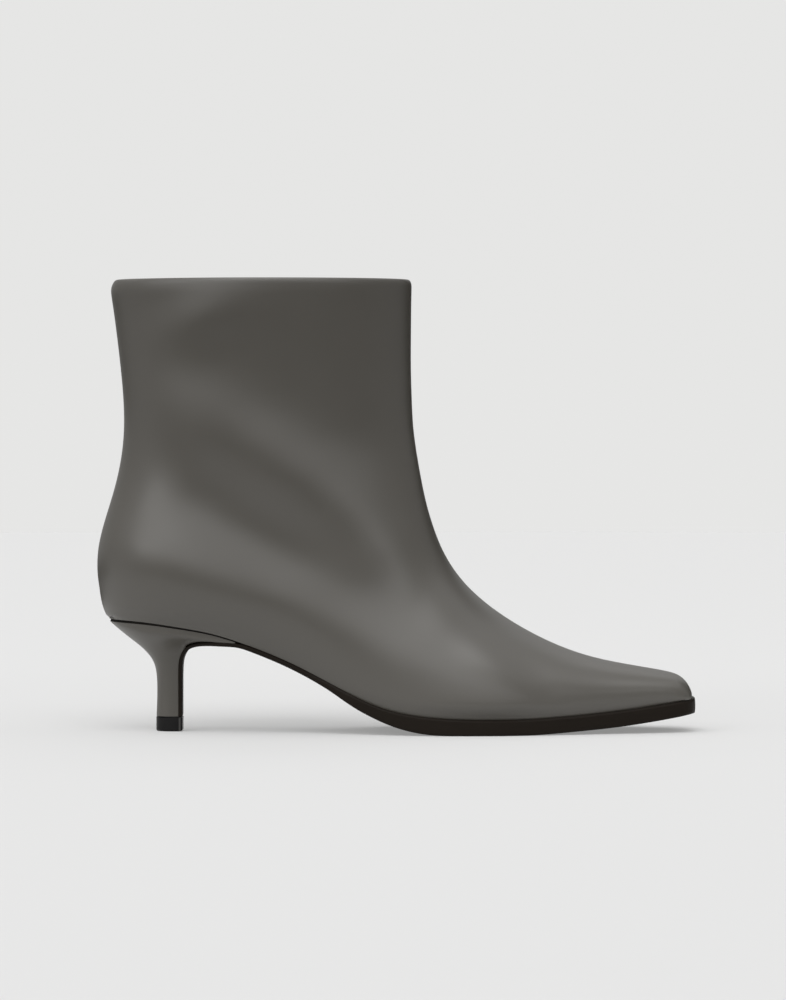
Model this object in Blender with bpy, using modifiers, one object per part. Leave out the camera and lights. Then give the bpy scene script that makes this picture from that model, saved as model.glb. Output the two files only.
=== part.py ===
"""Square-toe ankle boot on a kitten heel, for the right foot.

Metres, +Z up, +X towards the toe, -Y the outer side of the foot.
The origin is on the floor, under the middle of the boot's length and width.
Tables are in millimetres.
"""

import math
from collections import namedtuple

import bmesh
import bpy
import numpy as np

MM = 0.001

# Driving sizes, in millimetres
TOE_TIP = 132.5             # front of the sole
UPPER_TIP = TOE_TIP - 1.5   # front of the upper
SEAT_BACK = -126.6          # back of the heel seat
SEAT_ROUND_FROM = -96.0     # behind here the seat is round
TOE_ROUND_FROM = 116.0      # ahead of here the toe turns its square corners
COLLAR_HEIGHT = 200.0
WALL = 2.0                  # leather and lining together
GAP = 0.3                   # between neighbouring pieces
INSOLE_THICK = 2.5
INSOLE_INSET = WALL + 0.7
INSOLE_EASE = 0.4           # chamfer of its edges
SOLE_EASE = 0.8
FLAP_THICK = 1.4            # sole on the heel's breast
FLAP_EASE = 0.35
MOST_EASE = 0.3             # share of a thin edge that its chamfer may take
TOP_PIECE_HEIGHT = 6.3
TOP_PIECE_EASE = 0.5        # at the floor
TOP_PIECE_RIM = 0.2         # and at the top
TOP_PIECE_PROUD = 0.1       # past the heel behind and at the sides
TOP_PIECE_NOSE = 0.8        # narrower than the heel in front
TOP_PIECE_FULL_AT = 0.25    # where it is widest, as a share of its length
SEAT_SETBACK = 0.2          # heel's top edge ahead of the upper's back
SEAT_GROOVE_BACK = 1.0      # open seam between heel and upper, at the back
SEAT_GROOVE_FRONT = 0.45    # and at the front of the wings
SEAT_GROOVE_DEEP = 1.6
SEAT_ROUNDNESS = 2.15       # superellipse powers of the plan's two ends
TOE_SQUARENESS = 3.4
SIDE_ROUNDNESS = 2.3        # and of a section's lower side

# Mesh fineness
HALF_POINTS = 18            # steps along half of an upper section
HEEL_POINTS = 16            # steps along half of a heel section
ROWS_BETWEEN = 2            # lofted rows for each row of the upper's table
ROWS_AT_HEEL = 5            # and before the heel point
DENSE = 28                  # points that a section is measured with
END_ROWS = 7                # sections round the end of a sole
END_TURN = 82.0             # degrees round that end of the last of them
SOLE_STEP = 5.0             # spacing of the outsole's sections
INSOLE_STEP = 6.4           # and of the insole's
ROW_NUDGE = 0.05            # share of a row that a direction is measured over
SHARP_EDGE = 55.0           # degrees
MERGE = 0.01

# Underside of the last: its height over the floor, heel to toe
LastRow = namedtuple("LastRow", "x height")
LAST_ROWS = [
    LastRow(-127.0, 49.8), LastRow(-112.0, 48.9), LastRow(-95.0, 46.5), LastRow(-82.0, 44.1),
    LastRow(-72.0, 41.2), LastRow(-64.0, 38.4), LastRow(-55.0, 34.9), LastRow(-46.0, 31.0),
    LastRow(-37.0, 26.6), LastRow(-28.0, 21.9), LastRow(-20.0, 17.7), LastRow(-11.0, 13.5),
    LastRow(-2.0, 10.6), LastRow(8.0, 8.7), LastRow(22.0, 7.4), LastRow(42.0, 6.9),
    LastRow(58.0, 7.1), LastRow(80.0, 8.4), LastRow(106.0, 11.0), LastRow(120.0, 13.0),
    LastRow(133.0, 14.9),
]

# Plan of the last at its lower edge, before its ends are rounded
PlanRow = namedtuple("PlanRow", "x outer inner")
PLAN_ROWS = [
    PlanRow(-128.0, 24.8, 24.4), PlanRow(-100.0, 25.0, 24.5), PlanRow(-75.0, 25.1, 24.1),
    PlanRow(-50.0, 25.6, 23.0), PlanRow(-28.0, 28.6, 24.1), PlanRow(-6.0, 34.1, 28.2),
    PlanRow(14.0, 38.3, 33.9), PlanRow(31.0, 39.5, 37.8), PlanRow(47.0, 38.1, 39.5),
    PlanRow(64.0, 33.8, 37.4), PlanRow(82.0, 28.3, 32.2), PlanRow(100.0, 23.2, 26.9),
    PlanRow(118.0, 18.7, 22.1), PlanRow(134.0, 15.6, 18.6),
]

# Sections of the upper, each a loop in a plane from a foot to its top on the front line. The planes lie
# flat at the toe, stand up over the vamp and lie flat at the collar. At the toe a foot is on the sole's
# edge, then on the last's keel under the sole, which cuts the loop off, and last on the back seam.
UpperRow = namedtuple("UpperRow", "place top_x top_z foot_x foot_z outer inner full_down roundness ridge")
UPPER_ROWS = [
    UpperRow("toe edge", UPPER_TIP, 14.9, 125.6, 14.0, 15.95, 18.94, 5.4, 3.4, 1.5),
    UpperRow("toe face", 130.8, 17.4, 122.6, 13.5, 17.51, 20.75, 8.3, 3.2, 1.5),
    UpperRow("toe face top", 129.3, 20.6, 119.4, 13.1, 18.56, 21.93, 10.7, 3.0, 1.5),
    UpperRow("toe shoulder", 126.4, 23.3, 115.6, 12.5, 19.54, 22.99, 12.4, 2.9, 1.6),
    UpperRow("toe top", 121.0, 25.3, 110.5, 11.8, 20.86, 24.40, 13.4, 2.75, 1.8),
    UpperRow("toe box", 110.0, 27.6, 96.8, -0.4, 23.16, 26.83, 14.2, 2.6, 2.1),
    UpperRow("vamp tip", 96.0, 30.5, 86.0, -4.5, 26.57, 30.39, 16.5, 2.4, 2.5),
    UpperRow("vamp", 82.0, 34.1, 72.1, -8.4, 30.87, 34.81, 19.8, 2.24, 2.8),
    UpperRow("ball", 67.0, 40.0, 55.5, -13.8, 35.88, 39.13, 24.7, 2.14, 2.9),
    UpperRow("ball back", 52.0, 48.1, 35.7, -18.9, 39.93, 40.41, 30.8, 2.08, 2.8),
    UpperRow("waist front", 39.4, 57.0, 12.7, -18.9, 40.83, 37.43, 37.5, 2.05, 2.5),
    UpperRow("waist", 29.9, 66.1, -11.1, -10.4, 38.62, 32, 43.5, 2.08, 2.0),
    UpperRow("instep", 23.2, 75.4, -33.9, 6.2, 34.7, 28.7, 48.5, 2.14, 1.4),
    UpperRow("instep back", 18.6, 84.8, -58.5, 22.3, 32.4, 28.5, 55.0, 2.2, 0.9),
    UpperRow("ankle bend", 15.4, 94.0, -84.5, 32.0, 31.75, 29.9, 65.5, 2.25, 0.5),
    UpperRow("seat side", 13.0, 102.8, -107.0, 36.8, 31.5, 30.8, 80.0, 2.29, 0.3),
    UpperRow("seat quarter", 10.9, 113.0, -120.8, 41.9, 31.35, 30.85, 95.0, 2.31, 0.1),
    UpperRow("heel point", 9.3, 122.2, SEAT_BACK, 50.1, 31.25, 30.85, 105.0, 2.32, 0.0),
    UpperRow("counter", 8.2, 129.8, -130.9, 60.5, 31.15, 30.8, 109.0, 2.32, 0.0),
    UpperRow("counter swell", 7.5, 136.7, -132.6, 73.5, 31.15, 30.75, 107.5, 2.31, 0.0),
    UpperRow("counter top", 7.1, 144.2, -130.0, 89.5, 31.1, 30.7, 100.5, 2.29, 0.0),
    UpperRow("ankle back", 6.8, 153.0, -124.8, 107.0, 31.2, 30.75, 89.5, 2.26, 0.0),
    UpperRow("ankle narrow", 6.6, 163.0, -121.0, 126.5, 31.4, 30.95, 78.5, 2.22, 0.0),
    UpperRow("shaft", 6.65, 176.0, -121.1, 152.0, 31.95, 31.5, 70.5, 2.18, 0.0),
    UpperRow("collar low", 6.8, 190.5, -125.0, 186.0, 32.75, 32.3, 67.3, 2.15, 0.0),
    UpperRow("collar roll", 6.9, 196.0, -126.1, 195.5, 32.9, 32.5, 66.5, 2.15, 0.0),
    UpperRow("collar", 6.6, COLLAR_HEIGHT, -124.6, COLLAR_HEIGHT, 32.75, 32.3, 65.6, 2.15, 0.0),
]
UPPER_PLACES = [row.place for row in UPPER_ROWS]
TOE_BOX = UPPER_PLACES.index("toe box")
TOE_BOX_FOOT = 102.0        # where the toe box's loop meets the sole
HEEL_POINT = UPPER_PLACES.index("heel point")

# The sole from waist to toe: its walking side's height over the floor, and how far its edge stands out
SoleRow = namedtuple("SoleRow", "x floor ledge")
SOLE_ROWS = [
    SoleRow(-67.0, 37.2, 0.2), SoleRow(-55.0, 32.5, 0.4), SoleRow(-46.0, 28.5, 0.5),
    SoleRow(-37.0, 23.8, 0.7), SoleRow(-28.0, 18.4, 0.9), SoleRow(-20.0, 12.8, 1.2),
    SoleRow(-11.0, 7.9, 1.5), SoleRow(-2.0, 4.0, 1.6), SoleRow(7.0, 1.5, 1.6), SoleRow(15.0, 0.3, 1.6),
    SoleRow(24.0, 0.0, 1.6), SoleRow(58.0, 0.0, 1.6), SoleRow(68.0, 0.5, 1.6), SoleRow(80.0, 1.4, 1.6),
    SoleRow(94.0, 2.6, 1.6), SoleRow(107.0, 4.2, 1.6), SoleRow(120.0, 6.2, 1.5), SoleRow(133.0, 8.6, 1.4),
]
FLOOR_FLAT = (24.0, 58.0)   # stretch of the forefoot that lies on the floor

# Sections of the heel block, each from its breast, at the front, to its back
HeelRow = namedtuple("HeelRow", "front_x front_z back_x back_z front_half full_half full_at")
HEEL_ROWS = [
    HeelRow(-96.2, TOP_PIECE_HEIGHT + GAP, -106.2, TOP_PIECE_HEIGHT + GAP, 6.6, 7.2, 0.35),
    HeelRow(-96.2, 14.0, -105.9, 14.0, 6.6, 7.2, 0.35),
    HeelRow(-96.2, 22.0, -105.9, 22.2, 7.0, 7.6, 0.35),
    HeelRow(-96.1, 29.5, -106.7, 28.6, 8.2, 8.9, 0.35),
    HeelRow(-95.0, 34.2, -109.0, 33.2, 10.6, 11.4, 0.36),
    HeelRow(-92.6, 37.6, -112.9, 37.3, 14.2, 15.0, 0.38),
    HeelRow(-89.0, 39.4, -117.4, 41.0, 18.2, 18.9, 0.42),
    HeelRow(-84.0, 40.1, -121.6, 44.6, 21.8, 22.5, 0.44),
    HeelRow(-78.0, 40.0, -124.6, 47.2, 23.9, 24.4, 0.45),
    HeelRow(-70.5, 39.7, -126.0, 48.4, 24.5, 25.0, 0.456),
]
HEEL_ROWS_BETWEEN = 2


def spline(knots, values):
    """A natural cubic spline through the knots, as a function of one number."""
    knots = np.array(knots, float)
    values = np.array(values, float)
    step = np.diff(knots)
    slope = np.diff(values) / step
    count = len(knots)
    matrix = np.eye(count)
    side = np.zeros(count)
    for i in range(1, count - 1):
        matrix[i, i - 1:i + 2] = step[i - 1], 2 * (step[i - 1] + step[i]), step[i]
        side[i] = 6 * (slope[i] - slope[i - 1])
    bend = np.linalg.solve(matrix, side)

    def at(x):
        i = int(np.clip(np.searchsorted(knots, x) - 1, 0, count - 2))
        a = (knots[i + 1] - x) / step[i]
        b = (x - knots[i]) / step[i]
        cubic = (a ** 3 - a) * bend[i] + (b ** 3 - b) * bend[i + 1]
        return float(a * values[i] + b * values[i + 1] + cubic * step[i] ** 2 / 6)

    return at


def splines(rows, names):
    """One spline over the row numbers for each named column of a table."""
    return {name: spline(range(len(rows)), [getattr(row, name) for row in rows]) for name in names}


LAST_BELOW = spline([row.x for row in LAST_ROWS], [row.height for row in LAST_ROWS])
PLAN = {
    "outer": spline([row.x for row in PLAN_ROWS], [row.outer for row in PLAN_ROWS]),
    "inner": spline([row.x for row in PLAN_ROWS], [row.inner for row in PLAN_ROWS]),
}
SOLE_BELOW = spline([row.x for row in SOLE_ROWS], [row.floor for row in SOLE_ROWS])
LEDGE = spline([row.x for row in SOLE_ROWS], [row.ledge for row in SOLE_ROWS])


def corner(share, power):
    """How much width is left at a share of the way round a superellipse's corner."""
    share = min(max(share, 0.0), 1.0)
    return (1 - share ** power) ** (1 / power)


def plan_half(x, side, tip=UPPER_TIP, back=SEAT_BACK):
    """Half width of the last's lower edge at x, with its square toe and its round seat."""
    toe = corner((x - TOE_ROUND_FROM) / (tip - TOE_ROUND_FROM), TOE_SQUARENESS)
    seat = corner((SEAT_ROUND_FROM - x) / (SEAT_ROUND_FROM - back), SEAT_ROUNDNESS)
    return PLAN[side](x) * toe * seat


def resample(points, count):
    """The same line as count equal steps."""
    points = np.array(points)
    run = np.concatenate([[0], np.cumsum(np.linalg.norm(np.diff(points, axis=0), axis=1))])
    places = np.linspace(0, run[-1], count + 1)
    return np.stack([np.interp(places, run, points[:, k]) for k in range(3)], axis=1)


def side_reach(share, base, full):
    """How far a section's lower side stands out, a share of the way up from its base to its widest."""
    lift = full ** SIDE_ROUNDNESS - base ** SIDE_ROUNDNESS
    return (full ** SIDE_ROUNDNESS - lift * (1 - share) ** SIDE_ROUNDNESS) ** (1 / SIDE_ROUNDNESS)


def half_section(base, top, base_half, full_half, full_at, roundness, side_sign, ridge, steps):
    """Half of a section, from its base to the ridge at its top. base and top are (x, z)."""
    base_reach = base_half - side_sign * ridge
    full_reach = full_half - side_sign * ridge
    turn = np.linspace(0, math.pi / 2, DENSE).clip(0, math.pi / 2 - 1e-9)
    shares = [1 - math.cos(a) ** (2 / SIDE_ROUNDNESS) for a in turn]
    rise = [(full_at * share, side_reach(share, base_reach, full_reach)) for share in shares]
    power = 2 / roundness
    close = [
        (full_at + (1 - full_at) * math.sin(a) ** power, full_reach * math.cos(a) ** power)
        for a in turn[1:]
    ]
    points = [
        (base[0] + (top[0] - base[0]) * t, ridge + side_sign * reach, base[1] + (top[1] - base[1]) * t)
        for t, reach in rise + close
    ]
    points[-1] = (top[0], ridge, top[1])
    return resample(points, steps)


def both_halves(outer, inner):
    """A whole section, outer side first, from two halves that end on the same ridge point."""
    return np.concatenate([outer, inner[-2::-1]])


def make_material(name, colour, roughness):
    material = bpy.data.materials.new(name)
    material.use_nodes = True
    shader = material.node_tree.nodes["Principled BSDF"]
    shader.inputs["Base Color"].default_value = (*colour, 1.0)
    shader.inputs["Roughness"].default_value = roughness
    shader.inputs["Metallic"].default_value = 0.0
    return material


def make_object(name, material, collection, mesh_maker):
    """A smooth-shaded object from a function that fills a bmesh in millimetres."""
    shape = bmesh.new()
    mesh_maker(shape)
    bmesh.ops.scale(shape, vec=(MM, MM, MM), verts=shape.verts)
    mesh = bpy.data.meshes.new(name)
    shape.to_mesh(mesh)
    shape.free()
    mesh.materials.append(material)
    mesh.shade_smooth()
    mesh.set_sharp_from_angle(angle=math.radians(SHARP_EDGE))
    made = bpy.data.objects.new(name, mesh)
    collection.objects.link(made)
    return made


def bridge(shape, rows, closed):
    """Joins rows of points, each with the same count, by faces. Returns the rows of vertices."""
    vertices = [[shape.verts.new(point) for point in row] for row in rows]
    count = len(rows[0])
    for low, high in zip(vertices, vertices[1:]):
        for i in range(count if closed else count - 1):
            k = (i + 1) % count
            shape.faces.new((low[i], low[k], high[k], high[i]))
    return vertices


def ladder(shape, ring):
    """Closes a ring whose two halves face each other with rungs from side to side."""
    last = len(ring) - 1
    for i in range(last // 2):
        rung = [ring[i], ring[i + 1], ring[last - i - 1], ring[last - i]]
        shape.faces.new(list(dict.fromkeys(rung)))


def face_out(shape):
    bmesh.ops.recalc_face_normals(shape, faces=shape.faces)


def upper_row_numbers():
    """Where the lofted rows lie between the rows of the table, closer towards the heel point."""
    last = len(UPPER_ROWS) - 1
    numbers = [start + step / ROWS_BETWEEN for start in range(last) for step in range(ROWS_BETWEEN)]
    before_heel = [HEEL_POINT - (1 - step / ROWS_AT_HEEL) ** 2 for step in range(ROWS_AT_HEEL)]
    spread = [number for number in numbers if not HEEL_POINT - 1 <= number < HEEL_POINT]
    return sorted(spread + before_heel) + [last]


def on_last(x):
    """The height of the upper's lower edge over the floor."""
    return LAST_BELOW(x) + GAP / 2


def sole_share(keel, top):
    """How far up the straight line from keel to top it leaves the sole. Both are (x, z)."""
    low, high = 0.0, 1.0
    for _ in range(40):
        share = (low + high) / 2
        x, z = (k + (t - k) * share for k, t in zip(keel, top))
        low, high = (share, high) if z < on_last(x) else (low, share)
    return low


def upper_sections():
    """Rows of the upper's outside, from the toe's lower edge to the collar."""
    columns = splines(UPPER_ROWS, ("top_x", "top_z", "outer", "inner", "full_down", "roundness", "ridge"))
    toe_feet = [row.foot_x for row in UPPER_ROWS[:TOE_BOX]] + [TOE_BOX_FOOT]
    toe_foot = spline(range(TOE_BOX + 1), toe_feet)
    keel_foot = splines(UPPER_ROWS[TOE_BOX:], ("foot_x", "foot_z"))
    rows = []
    for number in upper_row_numbers():
        at = {name: column(number) for name, column in columns.items()}
        top = np.array([at["top_x"], at["top_z"]])
        ridge = at["ridge"] if number < HEEL_POINT else 0.0
        on_toe = number < TOE_BOX
        if on_toe:
            x = toe_foot(number)
            base = np.array([x, on_last(x)])
        else:
            keel = np.array([column(number - TOE_BOX) for column in keel_foot.values()])
            cut = sole_share(keel, top) if number < HEEL_POINT else 0.0
            base = keel + (top - keel) * cut
        length = math.dist(base, top)
        full_at = 1 - at["full_down"] / length
        halves = []
        for side, sign in (("outer", -1), ("inner", 1)):
            if on_toe:
                base_half = plan_half(base[0], side)
            else:
                share = math.dist(keel, base) / (math.dist(keel, top) - at["full_down"])
                base_half = sign * ridge + side_reach(share, 0.0, at[side] - sign * ridge)
            full_half = max(at[side], base_half)
            halves.append(half_section(
                base, top, base_half, full_half, full_at, at["roundness"], sign, ridge, HALF_POINTS))
        rows.append(both_halves(*halves))
    return rows


def fill_upper(shape):
    bridge(shape, upper_sections(), closed=False)
    bmesh.ops.remove_doubles(shape, verts=shape.verts, dist=MERGE)
    face_out(shape)
    foremost = max(shape.faces, key=lambda face: face.calc_center_median().x)
    if foremost.normal.x < 0:
        bmesh.ops.reverse_faces(shape, faces=shape.faces)


def make_upper(material, collection):
    """The shell: its outside lofted through the sections, with its wall turned inwards."""
    upper = make_object("upper", material, collection, fill_upper)
    wall = upper.modifiers.new("wall", "SOLIDIFY")
    wall.thickness = WALL * MM
    wall.offset = -1.0
    wall.use_even_offset = True
    return upper


def slab_ring(top, floor, outer, inner, chamfer):
    """A sole section: flat above and below, with its edges eased. top and floor are (x, z)."""
    def along(share):
        return tuple(t + (f - t) * share for t, f in zip(top, floor))

    ease = min(chamfer / max(math.dist(top, floor), chamfer), MOST_EASE)
    across = [(-outer, ease), (-outer + chamfer, 0.0), (inner - chamfer, 0.0), (inner, ease)]
    above = [(*along(share), y) for y, share in across]
    below = [(*along(1 - share), y) for y, share in across]
    return [(x, y, z) for x, z, y in above + below[::-1]]


def fill_slab(shape, rings):
    vertices = bridge(shape, rings, closed=True)
    for ring in (vertices[0], vertices[-1]):
        ladder(shape, ring)
    face_out(shape)


def end_steps(start, end, power):
    """Places towards a rounded end, closer and closer, stopping just short of it."""
    turns = np.linspace(0, math.radians(END_TURN), END_ROWS)
    return [start + (end - start) * math.sin(turn) ** (2 / power) for turn in turns]


def heel_fronts():
    """The heel's breast line, wing tips first: (x, z), the way off the heel, and its half width."""
    columns = splines(HEEL_ROWS, HeelRow._fields)
    fronts = []
    for number in np.linspace(len(HEEL_ROWS) - 1, 0, (len(HEEL_ROWS) - 1) * HEEL_ROWS_BETWEEN + 1):
        here = np.array([columns["front_x"](number), columns["front_z"](number)])
        near = np.array([columns["front_x"](number - ROW_NUDGE), columns["front_z"](number - ROW_NUDGE)])
        along = (near - here) / np.linalg.norm(near - here)
        fronts.append((here, np.array([-along[1], along[0]]), columns["front_half"](number)))
    return fronts


def outsole_rings():
    """Sole sections from the toe back to the waist, and on down the heel's breast."""
    waist = SOLE_ROWS[0].x
    toe = end_steps(TOE_ROUND_FROM, TOE_TIP, TOE_SQUARENESS)
    middle = np.linspace(TOE_ROUND_FROM, waist, int((TOE_ROUND_FROM - waist) / SOLE_STEP) + 1)[1:]
    rings = []
    for x in [*reversed(toe), *middle]:
        top = (x, LAST_BELOW(x) - GAP / 2)
        on_floor = FLOOR_FLAT[0] <= x <= FLOOR_FLAT[1]
        floor = (x, 0.0 if on_floor else max(SOLE_BELOW(x), 0.0))
        outer, inner = (plan_half(x, side, TOE_TIP) + LEDGE(x) for side in ("outer", "inner"))
        rings.append(slab_ring(top, floor, outer, inner, SOLE_EASE))
    for front, way_off, half in heel_fronts():
        top = tuple(front + way_off * GAP)
        floor = tuple(front + way_off * (GAP + FLAP_THICK))
        rings.append(slab_ring(top, floor, half, half, FLAP_EASE))
    return rings


def insole_rings():
    back = SEAT_BACK + INSOLE_INSET
    front = UPPER_TIP - INSOLE_INSET
    heel = end_steps(SEAT_ROUND_FROM, back, SEAT_ROUNDNESS)
    middle = np.arange(SEAT_ROUND_FROM + INSOLE_STEP, TOE_ROUND_FROM - INSOLE_STEP / 2, INSOLE_STEP)
    toe = end_steps(TOE_ROUND_FROM, front, TOE_SQUARENESS)
    rings = []
    for x in [*reversed(heel), *middle, *toe]:
        low = on_last(x)
        outer, inner = (plan_half(x, side, front, back) - INSOLE_INSET for side in ("outer", "inner"))
        rings.append(slab_ring((x, low + INSOLE_THICK), (x, low), outer, inner, INSOLE_EASE))
    return rings


def heel_ring(front, back, front_half, full_half, full_at, inset=0.0):
    """A D-shaped heel section: flat breast in front, round behind. front and back are (x, z)."""
    front = (front[0] - inset, front[1])
    back = (back[0] + inset, back[1])
    halves = [
        half_section(front, back, front_half - inset, full_half - inset, full_at, SEAT_ROUNDNESS, sign, 0.0,
                     HEEL_POINTS)
        for sign in (-1, 1)
    ]
    return both_halves(*halves)


def seat_ring(inset, drop_back, drop_front):
    """The heel's top edge, laid a little under the last. The drops are the seam's height at its two ends."""
    row = HEEL_ROWS[-1]
    back = SEAT_BACK + SEAT_SETBACK
    ring = heel_ring((row.front_x, 0.0), (back, 0.0), row.front_half, row.full_half, row.full_at, inset)
    for point in ring:
        share = (point[0] - SEAT_BACK) / (row.front_x - SEAT_BACK)
        point[2] = LAST_BELOW(point[0]) - drop_back - (drop_front - drop_back) * share
    return ring


def fill_heel(shape):
    columns = splines(HEEL_ROWS, HeelRow._fields)
    rings = []
    for number in np.linspace(0, len(HEEL_ROWS) - 1, (len(HEEL_ROWS) - 1) * HEEL_ROWS_BETWEEN + 1):
        at = {name: column(number) for name, column in columns.items()}
        rings.append(heel_ring(
            (at["front_x"], at["front_z"]), (at["back_x"], at["back_z"]),
            at["front_half"], at["full_half"], at["full_at"]))
    rings.append(seat_ring(0.0, SEAT_GROOVE_BACK, SEAT_GROOVE_FRONT))
    rings.append(seat_ring(SEAT_GROOVE_DEEP, SEAT_GROOVE_BACK, SEAT_GROOVE_FRONT))
    rings.append(seat_ring(SEAT_GROOVE_DEEP, GAP / 2, GAP / 2))
    fill_slab(shape, rings)


def fill_top_piece(shape):
    """The lift under the heel and its sole flap, with eased edges."""
    row = HEEL_ROWS[0]
    front = row.front_x + GAP + FLAP_THICK
    back = row.back_x - TOP_PIECE_PROUD
    levels = [
        (0.0, TOP_PIECE_EASE), (TOP_PIECE_EASE, 0.0),
        (TOP_PIECE_HEIGHT - TOP_PIECE_RIM, 0.0), (TOP_PIECE_HEIGHT, TOP_PIECE_RIM),
    ]
    rings = [
        heel_ring((front, height), (back, height), row.front_half - TOP_PIECE_NOSE,
                  row.full_half + TOP_PIECE_PROUD, TOP_PIECE_FULL_AT, inset)
        for height, inset in levels
    ]
    fill_slab(shape, rings)


def main():
    for old in list(bpy.data.objects):
        bpy.data.objects.remove(old)
    boot = bpy.data.collections.new("square_toe_ankle_boot")
    bpy.context.scene.collection.children.link(boot)
    leather = make_material("grey_leather", (0.125, 0.121, 0.112), 0.5)
    heel_leather = make_material("heel_leather", (0.125, 0.121, 0.112), 0.5)
    sole = make_material("dark_sole", (0.016, 0.013, 0.011), 0.55)
    lift = make_material("black_lift", (0.012, 0.012, 0.012), 0.45)
    sock = make_material("insole_sock", (0.30, 0.27, 0.23), 0.7)
    make_upper(leather, boot)
    make_object("insole", sock, boot, lambda shape: fill_slab(shape, insole_rings()))
    make_object("outsole", sole, boot, lambda shape: fill_slab(shape, outsole_rings()))
    make_object("heel", heel_leather, boot, fill_heel)
    make_object("top_piece", lift, boot, fill_top_piece)


main()
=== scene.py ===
"""Looks of the square-toe ankle boot: soft grey leather, a dark dressed sole and a pale studio."""

import math
from collections import namedtuple

import bpy
import numpy as np
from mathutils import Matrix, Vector


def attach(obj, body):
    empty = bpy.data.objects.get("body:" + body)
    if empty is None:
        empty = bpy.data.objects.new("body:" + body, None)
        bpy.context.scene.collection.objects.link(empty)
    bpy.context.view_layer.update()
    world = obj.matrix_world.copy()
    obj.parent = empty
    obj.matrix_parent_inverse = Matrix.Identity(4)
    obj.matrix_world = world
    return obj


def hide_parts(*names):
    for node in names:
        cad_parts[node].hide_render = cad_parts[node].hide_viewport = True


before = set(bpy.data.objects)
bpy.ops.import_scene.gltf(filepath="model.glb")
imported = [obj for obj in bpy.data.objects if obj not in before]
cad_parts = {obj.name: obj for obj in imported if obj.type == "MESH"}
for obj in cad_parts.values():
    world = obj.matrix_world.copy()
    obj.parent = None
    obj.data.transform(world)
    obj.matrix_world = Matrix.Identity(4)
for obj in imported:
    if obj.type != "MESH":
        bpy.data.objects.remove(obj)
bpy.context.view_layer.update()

MM = 0.001

# Middle of the boot's inside, toe to collar, in millimetres
INSIDE_LINE = [
    (126, 0, 16), (108, 0, 18), (88, 0, 19), (64, 0, 23), (40, 0, 30), (15, 0, 46), (-15, 0, 66),
    (-45, 0, 84), (-60, 0, 110), (-60, 0, 200),
]

# Height of the upper's lower edge round the heel seat, and how long its rows are ironed out
SEAT_EDGE_X = (-127.0, -112.0, -95.0, -82.0, -72.0)
SEAT_EDGE_Z = (49.95, 49.05, 46.65, 44.25, 41.35)
SEAT_ROUNDS = 24
CAGE_ROUNDS = 4             # how often the upper's cage is fitted to the solid
CREASE_TURN = 55            # edges sharper than this, in degrees, are kept below CREASE_TOP
CREASE_TOP = 195
COLLAR_EDGE = 199.5         # from here up the collar may round off
SEAM_FILL = 1.2             # how far the seat's groove is filled, in millimetres
SEAT_FILL = 1.6             # how far the leather stands out at the back of the seat
TOE_FILL = 0.7              # how far it rises over the toe
HEEL_SHARE = 0.35           # part of SEAT_FILL that the heel's top edge follows
# The seam band's near-black colour is partly the seam's own dark edge and partly painted shade of the groove
# between upper and heel.
SEAM_HEIGHT = 0.9           # how far down the dark seam reaches from the upper's edge
SOLE_BACK = -66             # where the walking side ends, before the heel's breast
BREAST_FRONT = -71          # where the sole lies on the heel's breast

# Soft swells and hollows of the leather: the middle, how far it turns up towards the toe in degrees,
# how far it fades along and across, and how far it stands out, in millimetres
Fold = namedtuple("Fold", "name x z turn long wide out")
OUTER_FOLDS = [
    Fold("collar swell", -84, 182, 20, 16, 9, 2.2),
    Fold("collar hollow", -75, 166, -38, 45, 16, -1.4),
    Fold("shin swell", -50, 114, -29, 50, 14, 3.4),
    Fold("ankle back", -92, 113, 37, 40, 16, -1.8),
    Fold("ankle hollow", -56, 88, -36, 50, 14, -3.2),
    Fold("counter swell", -108, 73, -12, 26, 13, 4.4),
    Fold("seat swell", -88, 57, -10, 24, 9, 0.9),
    Fold("quarter swell", -20, 46, -27, 40, 10, 1.0),
    Fold("instep hollow", 38, 49, 36, 18, 9, -1.3),
    Fold("vamp hollow", 56, 32, -46, 16, 5.5, -1.8),
    Fold("ball swell", 42, 8, 0, 24, 9, 2.8),
]
INNER_FOLDS = [
    Fold("collar hollow", -70, 170, -25, 35, 14, -1.2),
    Fold("shin swell", -52, 120, -28, 45, 12, 1.2),
    Fold("ankle hollow", -60, 88, -30, 45, 14, -1.2),
    Fold("counter swell", -95, 68, -4, 24, 11, 1.0),
]


class Wire:
    """A socket of a material that Python's operators add Math nodes to."""

    def __init__(self, socket):
        self.socket = socket
        self.tree = socket.id_data

    def node(self, kind, settings=None, sockets=None, out=0):
        """Any node: its settings first, then the values or wires of its sockets."""
        made = self.tree.nodes.new(kind)
        for name, value in (settings or {}).items():
            if name == "stops":
                set_stops(made.color_ramp, value)
            else:
                setattr(made, name, value)
        for key, value in (sockets or {}).items():
            if isinstance(value, Wire):
                self.tree.links.new(value.socket, made.inputs[key])
            else:
                made.inputs[key].default_value = value
        return Wire(made.outputs[out])

    def math(self, operation, first, second):
        return self.node("ShaderNodeMath", {"operation": operation}, {0: first, 1: second})

    def __add__(self, other):
        return self.math("ADD", self, other)

    def __radd__(self, other):
        return self.math("ADD", other, self)

    def __mul__(self, other):
        return self.math("MULTIPLY", self, other)


def set_stops(ramp, stops):
    """A ramp's (place, grey) stops."""
    while len(ramp.elements) < len(stops):
        ramp.elements.new(1.0)
    for element, (place, grey) in zip(ramp.elements, stops):
        element.position = place
        element.color = (grey, grey, grey, 1.0)


def new_finish(name, **sockets):
    """A material with its shader's even sockets set. Returns it, the shader and the place on the piece."""
    finish = bpy.data.materials.new(name)
    finish.use_nodes = True
    shader = finish.node_tree.nodes["Principled BSDF"]
    for socket, value in sockets.items():
        shader.inputs[socket.replace("_", " ")].default_value = value
    place = finish.node_tree.nodes.new("ShaderNodeTexCoord")
    return finish, shader, Wire(place.outputs["Object"])


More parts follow.
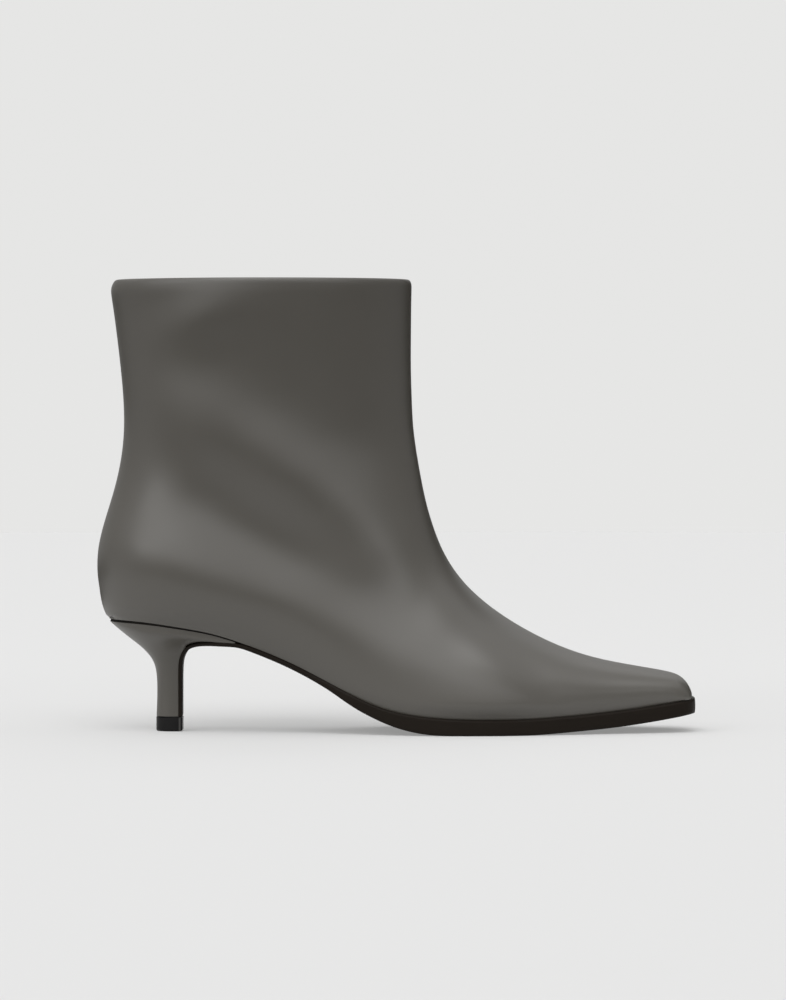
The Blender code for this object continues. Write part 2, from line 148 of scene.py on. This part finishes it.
def feed(shader, **wires):
    for socket, wire in wires.items():
        wire.tree.links.new(wire.socket, shader.inputs[socket.replace("_", " ")])


def noise(place, scale, detail=2.0, roughness=0.5):
    return place.node("ShaderNodeTexNoise", {}, {
        "Vector": place, "Scale": scale, "Detail": detail, "Roughness": roughness})


def two_tone(share, low, high):
    colours = {0: share, 6: (*low, 1.0), 7: (*high, 1.0)}
    return share.node("ShaderNodeMix", {"data_type": "RGBA"}, colours, out=2)


def bump(height, strength, distance, under=None):
    sockets = {"Height": height, "Strength": strength, "Distance": distance}
    if under:
        sockets["Normal"] = under
    return height.node("ShaderNodeBump", {}, sockets)


def leather(name, dark, light, roughness, gloss):
    """Smooth calf leather: a cloudy tone, fine pores and a soft waver under a satin finish."""
    finish, shader, place = new_finish(name, Specular_IOR_Level=gloss)
    clouds = noise(place, 22.0, detail=4.0)
    pores = place.node("ShaderNodeTexVoronoi", {"feature": "SMOOTH_F1"}, {
        "Vector": place, "Scale": 1500.0, "Smoothness": 0.6})
    grain = noise(place, 2600.0, detail=1.0)
    waver = noise(place, 55.0, detail=1.0)
    tone = clouds * 0.75 + pores * 0.3
    feed(
        shader,
        Base_Color=two_tone(tone, dark, light),
        Roughness=roughness - 0.06 + clouds * 0.08 + grain * 0.05,
        Normal=bump(pores * 0.7 + grain * 0.3, 0.12, 0.00006, under=bump(waver, 0.2, 0.0003)),
    )
    return finish


def lining_finish(name):
    """Plain leather inside the boot."""
    finish, shader, place = new_finish(name)
    clouds = noise(place, 40.0, detail=3.0)
    grain = noise(place, 1600.0, detail=2.0)
    feed(
        shader,
        Base_Color=two_tone(clouds * 0.6 + grain * 0.4, (0.20, 0.178, 0.15), (0.27, 0.245, 0.21)),
        Roughness=0.58 + grain * 0.12,
        Normal=bump(grain, 0.15, 0.0001),
    )
    return finish


def sole_finish(name, dark, light, roughness, gloss, streak):
    """Dyed sole leather or rubber with fine streaks, glossy or matt; it also makes the seat seam's near-black,
    partly painted shade, and the lift front's painted highlight.
    """
    finish, shader, place = new_finish(name, Specular_IOR_Level=gloss)
    stretched = place.node("ShaderNodeMapping", {}, {"Vector": place, "Scale": streak})
    fine = noise(stretched, 900.0, detail=3.0, roughness=0.6)
    clouds = noise(place, 60.0, detail=2.0)
    feed(
        shader,
        Base_Color=two_tone(fine * 0.6 + clouds * 0.4, dark, light),
        Roughness=roughness + fine * 0.14,
        Normal=bump(fine, 0.2, 0.00012),
    )
    return finish


def floor_finish():
    """Matt paper that darkens a little towards the camera and shines faintly, which keeps its shadows pale."""
    finish, shader, place = new_finish(
        "pale_paper", Roughness=0.9, Specular_IOR_Level=0.0,
        Emission_Color=(1, 1, 0.99, 1), Emission_Strength=FLOOR_LIGHT)
    depth = place.node("ShaderNodeSeparateXYZ", {}, {"Vector": place}, out=1)
    shade = depth.node("ShaderNodeValToRGB", {"stops": FLOOR_STOPS}, {"Fac": depth * 0.2 + 0.24})
    feed(shader, Base_Color=shade)
    return finish


def sweep_finish(name, strength):
    """The far paper, evenly lit."""
    finish, shader, place = new_finish(
        name, Base_Color=(0, 0, 0, 1), Roughness=1.0, Specular_IOR_Level=0.0, Emission_Strength=strength)
    feed(shader, Emission_Color=two_tone(noise(place, 0.4), (0.98, 0.98, 0.97), (1.0, 1.0, 0.99)))
    return finish


def select_only(piece):
    bpy.ops.object.select_all(action="DESELECT")
    piece.select_set(True)
    bpy.context.view_layer.objects.active = piece


def copy_of(node, name, *finishes):
    """A copy of a CAD solid to model on, merged and turned to four-sided faces."""
    piece = bpy.data.objects.new(name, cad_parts[node].data.copy())
    bpy.context.scene.collection.objects.link(piece)
    select_only(piece)
    piece.data.materials.clear()
    for finish in finishes:
        piece.data.materials.append(finish)
    bpy.ops.mesh.customdata_custom_splitnormals_clear()
    bpy.ops.object.mode_set(mode="EDIT")
    bpy.ops.mesh.select_all(action="SELECT")
    bpy.ops.mesh.remove_doubles(threshold=0.001 * MM)
    bpy.ops.mesh.tris_convert_to_quads(
        face_threshold=math.pi, shape_threshold=math.pi, topology_influence=1.0)
    bpy.ops.mesh.mark_sharp(clear=True)
    bpy.ops.object.mode_set(mode="OBJECT")
    return piece


def modify(piece, kind, **settings):
    """Adds a modifier and applies it."""
    modifier = piece.modifiers.new(kind.lower(), kind)
    for name, value in settings.items():
        setattr(modifier, name, value)
    bpy.context.view_layer.objects.active = piece
    bpy.ops.object.modifier_apply(modifier=modifier.name)


def ease_edges(piece, width, angle):
    """Bevels the edges that turn by more than an angle."""
    modify(piece, "BEVEL", width=width * MM, segments=2, limit_method="ANGLE", angle_limit=math.radians(angle))


def crease_sharp(piece, angle, highest):
    """Keeps the sharp edges below a height where they are when the piece is refined."""
    bpy.ops.object.mode_set(mode="EDIT")
    bpy.ops.mesh.select_mode(type="EDGE")
    bpy.ops.mesh.select_all(action="DESELECT")
    bpy.ops.mesh.edges_select_sharp(sharpness=math.radians(angle))
    bpy.ops.object.mode_set(mode="OBJECT")
    for edge in piece.data.edges:
        edge.select = edge.select and piece.data.vertices[edge.vertices[0]].co.z < highest * MM
    bpy.ops.object.mode_set(mode="EDIT")
    bpy.ops.transform.edge_crease(value=1.0)
    bpy.ops.object.mode_set(mode="OBJECT")


def refine(piece, levels):
    modify(piece, "SUBSURF", levels=levels, render_levels=levels)


def refine_to_solid(piece, levels, free):
    """Subdivides a piece on a cage swelled so that the smooth surface keeps to the solid's points.
    free marks the points that may round off instead. Away from creases the cage only moves in or out."""
    solid = points_of(piece)
    cage = solid.copy()
    outward = np.array([vertex.normal for vertex in piece.data.vertices])
    creases = piece.data.attributes["crease_edge"].data
    smooth_points = np.ones(len(solid), bool)
    for edge, crease in zip(piece.data.edges, creases):
        if crease.value > 0:
            smooth_points[list(edge.vertices)] = False
    smooth = piece.modifiers.new("smooth", "SUBSURF")
    smooth.levels = smooth.render_levels = levels
    for _ in range(CAGE_ROUNDS):
        view = bpy.context.evaluated_depsgraph_get()
        shape = piece.evaluated_get(view).to_mesh()
        now = np.array([shape.vertices[i].co for i in range(len(solid))]) / MM
        step = solid - now
        in_or_out = np.einsum("ij,ij->i", step, outward)[:, None] * outward
        step[smooth_points] = in_or_out[smooth_points]
        step[free] = 0
        cage += step
        put_points(piece, cage)
    bpy.context.view_layer.objects.active = piece
    bpy.ops.object.modifier_apply(modifier="smooth")


def pick_faces(piece, wanted):
    """Selects the faces whose middle, in millimetres, and normal are wanted."""
    select_only(piece)
    bpy.ops.object.mode_set(mode="EDIT")
    bpy.ops.mesh.select_mode(type="FACE")
    bpy.ops.mesh.select_all(action="DESELECT")
    bpy.ops.object.mode_set(mode="OBJECT")
    for face in piece.data.polygons:
        face.select = bool(wanted(face.center / MM, face.normal))
    bpy.ops.object.mode_set(mode="EDIT")


def fatten_picked(distance):
    """Moves the picked faces out along their normals, and leaves edit mode."""
    bpy.ops.transform.shrink_fatten(value=distance * MM)
    bpy.ops.object.mode_set(mode="OBJECT")


def paint_picked(number):
    """Gives the picked faces the piece's finish of that number, and leaves edit mode."""
    bpy.context.object.active_material_index = number
    bpy.ops.object.material_slot_assign()
    bpy.ops.object.mode_set(mode="OBJECT")


def points_of(piece):
    points = np.empty(len(piece.data.vertices) * 3)
    piece.data.vertices.foreach_get("co", points)
    return points.reshape(-1, 3) / MM


def put_points(piece, points):
    piece.data.vertices.foreach_set("co", (points * MM).ravel())
    piece.data.update()


def smooth_faces(piece, angle):
    select_only(piece)
    bpy.ops.object.shade_smooth_by_angle(angle=math.radians(angle))


def set_piece(piece, node):
    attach(piece, "root")
    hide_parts(node)


def fade(value, start, end):
    """0 before start, 1 after end, and a soft step between."""
    share = np.clip((value - start) / (end - start), 0, 1)
    return share * share * (3 - 2 * share)


def away_from_inside(centres):
    """The way from the boot's inside line to each point."""
    line = np.array(INSIDE_LINE, float)
    best = np.full(len(centres), np.inf)
    ways = np.zeros_like(centres)
    for start, end in zip(line, line[1:]):
        along = end - start
        share = np.clip((centres - start) @ along / (along @ along), 0, 1)
        way = centres - (start + share[:, None] * along)
        near = np.linalg.norm(way, axis=1)
        ways[near < best] = way[near < best]
        best = np.minimum(best, near)
    return ways


def press_folds(points, folds, side):
    """Moves both walls on one side of the boot by its table of folds. The lower edge stays on the sole."""
    out = np.zeros(len(points))
    for fold in folds:
        turn = math.radians(fold.turn)
        x, z = points[:, 0] - fold.x, points[:, 2] - fold.z
        along = (x * math.cos(turn) + z * math.sin(turn)) / fold.long
        across = (z * math.cos(turn) - x * math.sin(turn)) / fold.wide
        out += fold.out * np.exp(-(along ** 2 + across ** 2) / 2)
    points[:, 1] += side * out * fade(side * points[:, 1], 0, 22) * fade(above_edge(points), 0.5, 7)


def above_edge(points):
    """How high each point is over the upper's lower edge."""
    steps = np.arange(-130, 131, 5.0)
    lowest = [points[np.abs(points[:, 0] - x) < 4, 2].min() for x in steps]
    return points[:, 2] - np.interp(points[:, 0], steps, lowest)


def fill_ends(points):
    """Fills out the back of the seat and the top of the toe."""
    x, z = points[:, 0], points[:, 2]
    points[:, 2] += TOE_FILL * fade(x, 90, 124) * (1 - fade(x, 129, 133)) * fade(above_edge(points), 4, 12)
    back = fade(-x, 100, 124) * (1 - fade(z, 51, 66)) * (0.25 + 0.75 * fade(above_edge(points), 0.2, 2.2))
    points[:, 0] -= SEAT_FILL * back


def smooth_seat(upper):
    """Irons out the crowded rows round the heel seat. The lower edge stays as it is."""
    points = points_of(upper)
    edge = np.interp(points[:, 0], SEAT_EDGE_X, SEAT_EDGE_Z)
    x, z = points[:, 0], points[:, 2]
    weights = fade(-x, 70, 90) * fade(-z, -84, -70) * fade(z - edge, 0.1, 2.2)
    seat = upper.vertex_groups.new(name="seat")
    for i in np.flatnonzero(weights > 0.01):
        seat.add([int(i)], float(weights[i]), "REPLACE")
    modify(upper, "SMOOTH", factor=0.5, iterations=SEAT_ROUNDS, vertex_group="seat")


def model_upper():
    upper = copy_of("upper", "leather_upper", LEATHER, LINING)
    crease_sharp(upper, CREASE_TURN, highest=CREASE_TOP)
    refine_to_solid(upper, 2, free=points_of(upper)[:, 2] > COLLAR_EDGE)
    smooth_seat(upper)
    points = points_of(upper)
    fill_ends(points)
    press_folds(points, OUTER_FOLDS, -1)
    press_folds(points, INNER_FOLDS, 1)
    put_points(upper, points)
    centres = np.array([face.center for face in upper.data.polygons]) / MM
    normals = np.array([face.normal for face in upper.data.polygons])
    inside = np.einsum("ij,ij->i", normals, away_from_inside(centres)) < 0
    upper.data.polygons.foreach_set("material_index", inside.astype(np.int32))
    smooth_faces(upper, 60)
    set_piece(upper, "upper")


def model_insole():
    insole = copy_of("insole", "insole_sock", SOCK)
    ease_edges(insole, 0.4, 30)
    refine(insole, 1)
    smooth_faces(insole, 50)
    set_piece(insole, "insole")


def model_outsole():
    outsole = copy_of("outsole", "dressed_outsole", SOLE_EDGE, SOLE_UNDER)
    pick_faces(outsole, lambda middle, normal: middle.x > SOLE_BACK and normal.z > 0.7)
    fatten_picked(0.28)
    pick_faces(outsole, lambda middle, normal: middle.x < BREAST_FRONT and (normal.x < -0.6 or normal.z > 0.6))
    fatten_picked(0.4)
    ease_edges(outsole, 0.25, 25)
    refine(outsole, 2)
    pick_faces(outsole, lambda middle, normal: normal.z < -0.8 and middle.x > SOLE_BACK)
    paint_picked(1)
    smooth_faces(outsole, 50)
    set_piece(outsole, "outsole")


def model_heel():
    heel = copy_of("heel", "covered_heel", HEEL_LEATHER, SEAM_AND_PAINTED_SHADE)

    def in_seam(middle, normal):
        edge = np.interp(middle.x, SEAT_EDGE_X, SEAT_EDGE_Z)
        return middle.z > edge - SEAM_HEIGHT and abs(normal.z) < 0.05 and normal.x < 0.5

    # The seam band is painted near-black: partly the seam's dark edge, partly painted shade of the groove.
    pick_faces(heel, in_seam)
    paint_picked(1)
    pick_faces(heel, in_seam)
    fatten_picked(SEAM_FILL)
    ease_edges(heel, 0.25, 40)
    refine(heel, 1)
    points = points_of(heel)
    points[:, 0] -= HEEL_SHARE * SEAT_FILL * fade(-points[:, 0], 100, 122) * fade(points[:, 2], 36, 47)
    put_points(heel, points)
    smooth_faces(heel, 50)
    set_piece(heel, "heel")


def round_front_corners(lift):
    """Rounds the lift's upright edges at the breast."""
    front = points_of(lift)[:, 0].max()
    bpy.ops.object.mode_set(mode="EDIT")
    bpy.ops.mesh.select_mode(type="EDGE")
    bpy.ops.mesh.select_all(action="DESELECT")
    bpy.ops.object.mode_set(mode="OBJECT")
    points = points_of(lift)
    for edge in lift.data.edges:
        low, high = points[list(edge.vertices)]
        edge.select = bool(min(low[0], high[0]) > front - 1.0 and abs(low[2] - high[2]) > 1.0)
    bpy.ops.object.mode_set(mode="EDIT")
    bpy.ops.mesh.bevel(offset=1.2 * MM, segments=3)
    bpy.ops.object.mode_set(mode="OBJECT")


def model_top_piece():
    lift = copy_of("top_piece", "heel_lift", LIFT, LIFT_PAINTED_HIGHLIGHT)
    round_front_corners(lift)
    ease_edges(lift, 0.15, 30)
    refine(lift, 1)
    # The faces turned to the front get a much lighter finish: a painted highlight on the lift's rounded breast
    # corner.
    pick_faces(lift, lambda middle, normal: normal.x > 0.3)
    paint_picked(1)
    smooth_faces(lift, 50)
    set_piece(lift, "top_piece")


# The studio, in metres: a pale floor disc that lights the boot, a ring round it, and a sweep of paper
NEAR_RADIUS = 0.45
FLOOR_RADIUS = 4.0
RIM_POINTS = 128
SWEEP_REACH = 6.5
SWEEP_RISE = 3.0
SWEEP_STEPS = 12
FLOOR_STOPS = ((0.0, 0.473), (0.34, 0.516), (1.0, 0.535))
FLOOR_LIGHT = 0.26
SWEEP_LIGHT = 0.80
GLOW_LIGHT = 0.45            # paper that only the leather mirrors, behind and to the left
GLOW_SIDE = (-0.9, 0.3, 0.0)

# Broad far lamps, each placed by how far it goes round the boot from the camera, to the right, and up, in degrees
Lamp = namedtuple("Lamp", "name round up spread strength")
LAMPS = [
    Lamp("ceiling", 0, 90, 100, 0.88),
    Lamp("front", -5, 60, 40, 1.10),
    Lamp("left", -85, 30, 90, 0.95),
    Lamp("right", 80, 30, 90, 0.55),
    Lamp("high_right", 90, 62, 50, 0.12),
    Lamp("behind", 180, 34, 60, 0.55),
]

# A long low softbox in front, which the slopes of the folds mirror
STRIP_AIM = Vector((0.0, 0.0, 0.09))
STRIP_ROUND, STRIP_UP = math.radians(-18), math.radians(25)
STRIP_FAR = 6.0
STRIP_SIZE = (15.0, 1.8)
STRIP_POWER = 185.0

CAMERA_PLACE = (-0.00133, -2.1, 0.1345)
CAMERA_TILT = math.radians(89.12)
CAMERA_LENS = 170.6


def add_circle(name, radius, fill):
    bpy.ops.object.select_all(action="DESELECT")
    bpy.ops.mesh.primitive_circle_add(vertices=RIM_POINTS, radius=radius, fill_type=fill)
    circle = bpy.context.object
    circle.name = name
    return circle


def make_floor():
    """A near disc, and a ring round it that only the camera sees."""
    paper = floor_finish()
    floor = add_circle("studio_floor", NEAR_RADIUS, "NGON")
    floor.data.materials.append(paper)

    surround = add_circle("studio_surround", NEAR_RADIUS, "NOTHING")
    bpy.ops.object.mode_set(mode="EDIT")
    bpy.ops.mesh.select_all(action="SELECT")
    bpy.ops.mesh.extrude_edges_move()
    bpy.ops.transform.resize(value=(FLOOR_RADIUS / NEAR_RADIUS, FLOOR_RADIUS / NEAR_RADIUS, 1))
    bpy.ops.mesh.select_all(action="SELECT")
    bpy.ops.mesh.normals_make_consistent(inside=False)
    bpy.ops.object.mode_set(mode="OBJECT")
    surround.data.materials.append(paper)
    surround.visible_glossy = surround.visible_diffuse = False


def make_paper():
    """The far paper that the camera sees, and the part of it that the leather mirrors."""
    sweep = make_sweep("studio_sweep", SWEEP_LIGHT)
    sweep.visible_glossy = False
    glow = make_sweep("studio_glow", GLOW_LIGHT)
    glow.visible_camera = False
    bpy.ops.object.mode_set(mode="EDIT")
    bpy.ops.mesh.select_all(action="SELECT")
    bpy.ops.mesh.bisect(plane_co=(0, 0, 0), plane_no=GLOW_SIDE, clear_inner=True)
    bpy.ops.object.mode_set(mode="OBJECT")
    for paper in (sweep, glow):
        paper.visible_diffuse = paper.visible_shadow = False


def make_sweep(name, strength):
    """A soft sweep of paper pulled up from the floor's rim."""
    sweep = add_circle(name, FLOOR_RADIUS, "NOTHING")
    bpy.ops.object.mode_set(mode="EDIT")
    bpy.ops.mesh.select_all(action="SELECT")
    radius, height = FLOOR_RADIUS, 0.0
    for step in range(1, SWEEP_STEPS + 1):
        turn = math.radians(90) * step / SWEEP_STEPS
        next_radius = FLOOR_RADIUS + (SWEEP_REACH - FLOOR_RADIUS) * math.sin(turn)
        next_height = SWEEP_RISE * (1 - math.cos(turn))
        bpy.ops.mesh.extrude_edges_move(TRANSFORM_OT_translate={"value": (0, 0, next_height - height)})
        bpy.ops.transform.resize(value=(next_radius / radius, next_radius / radius, 1))
        radius, height = next_radius, next_height
    bpy.ops.mesh.select_all(action="SELECT")
    bpy.ops.mesh.normals_make_consistent(inside=True)
    bpy.ops.object.mode_set(mode="OBJECT")
    bpy.ops.object.shade_smooth()
    sweep.data.materials.append(sweep_finish(name, strength))
    return sweep


def make_lights():
    for lamp in LAMPS:
        light = bpy.data.lights.new(lamp.name, "SUN")
        light.angle, light.energy = math.radians(lamp.spread), lamp.strength
        stand = bpy.data.objects.new(lamp.name, light)
        stand.rotation_euler = (math.radians(90 - lamp.up), 0, math.radians(lamp.round))
        bpy.context.scene.collection.objects.link(stand)


def make_strip():
    light = bpy.data.lights.new("strip", "AREA")
    light.shape = "RECTANGLE"
    light.size, light.size_y = STRIP_SIZE
    light.energy = STRIP_POWER
    stand = bpy.data.objects.new("strip", light)
    level = math.cos(STRIP_UP)
    stand.location = STRIP_AIM + STRIP_FAR * Vector((
        math.sin(STRIP_ROUND) * level, -math.cos(STRIP_ROUND) * level, math.sin(STRIP_UP)))
    stand.rotation_euler = (STRIP_AIM - stand.location).to_track_quat("-Z", "Y").to_euler()
    stand.visible_camera = False
    bpy.context.scene.collection.objects.link(stand)


def make_dark_world():
    world = bpy.data.worlds.new("studio")
    world.use_nodes = True
    world.node_tree.nodes["Background"].inputs["Color"].default_value = (0, 0, 0, 1)
    bpy.context.scene.world = world


def make_camera():
    camera = bpy.data.cameras.new("camera")
    camera.lens = CAMERA_LENS
    camera.sensor_width = 36.0
    camera.clip_end = 50.0
    stand = bpy.data.objects.new("camera", camera)
    stand.location = CAMERA_PLACE
    stand.rotation_euler = (CAMERA_TILT, 0, 0)
    bpy.context.scene.collection.objects.link(stand)
    bpy.context.scene.camera = stand
    bpy.context.scene.view_settings.view_transform = "Standard"


CALF = ((0.0645, 0.0588, 0.0486), (0.072, 0.066, 0.0547))
LEATHER = leather("grey_calf", *CALF, roughness=0.40, gloss=0.95)
HEEL_LEATHER = leather("heel_cover", *CALF, roughness=0.40, gloss=0.8)
LINING = lining_finish("lining_leather")
SOCK = lining_finish("sock_leather")
SOLE_EDGE = sole_finish(
    "sole_edge_dressing", (0.009, 0.0066, 0.0046), (0.015, 0.011, 0.0078),
    roughness=0.45, gloss=0.10, streak=(0.06, 0.3, 1.0))
SOLE_UNDER = sole_finish(
    "sole_walking_side", (0.014, 0.012, 0.010), (0.03, 0.026, 0.022),
    roughness=0.62, gloss=0.2, streak=(1.0, 1.0, 1.0))
# Near-black seam band: partly a dark edge, partly painted shade of the groove.
SEAM_AND_PAINTED_SHADE = sole_finish(
    "seat_seam_and_painted_shade", (0.006, 0.005, 0.004), (0.012, 0.010, 0.008),
    roughness=0.6, gloss=0.1, streak=(0.1, 0.1, 1.0))
LIFT = sole_finish(
    "lift_rubber", (0.004, 0.004, 0.004), (0.008, 0.0075, 0.0075),
    roughness=0.38, gloss=0.2, streak=(0.3, 0.3, 1.0))
# Lighter, glossier finish for the lift's front faces: a painted highlight.
LIFT_PAINTED_HIGHLIGHT = sole_finish(
    "lift_front_painted_highlight", (0.045, 0.043, 0.040), (0.06, 0.057, 0.054),
    roughness=0.34, gloss=0.6, streak=(0.3, 0.3, 1.0))

model_upper()
model_insole()
model_outsole()
model_heel()
model_top_piece()
make_floor()
make_paper()
make_lights()
make_strip()
make_dark_world()
make_camera()
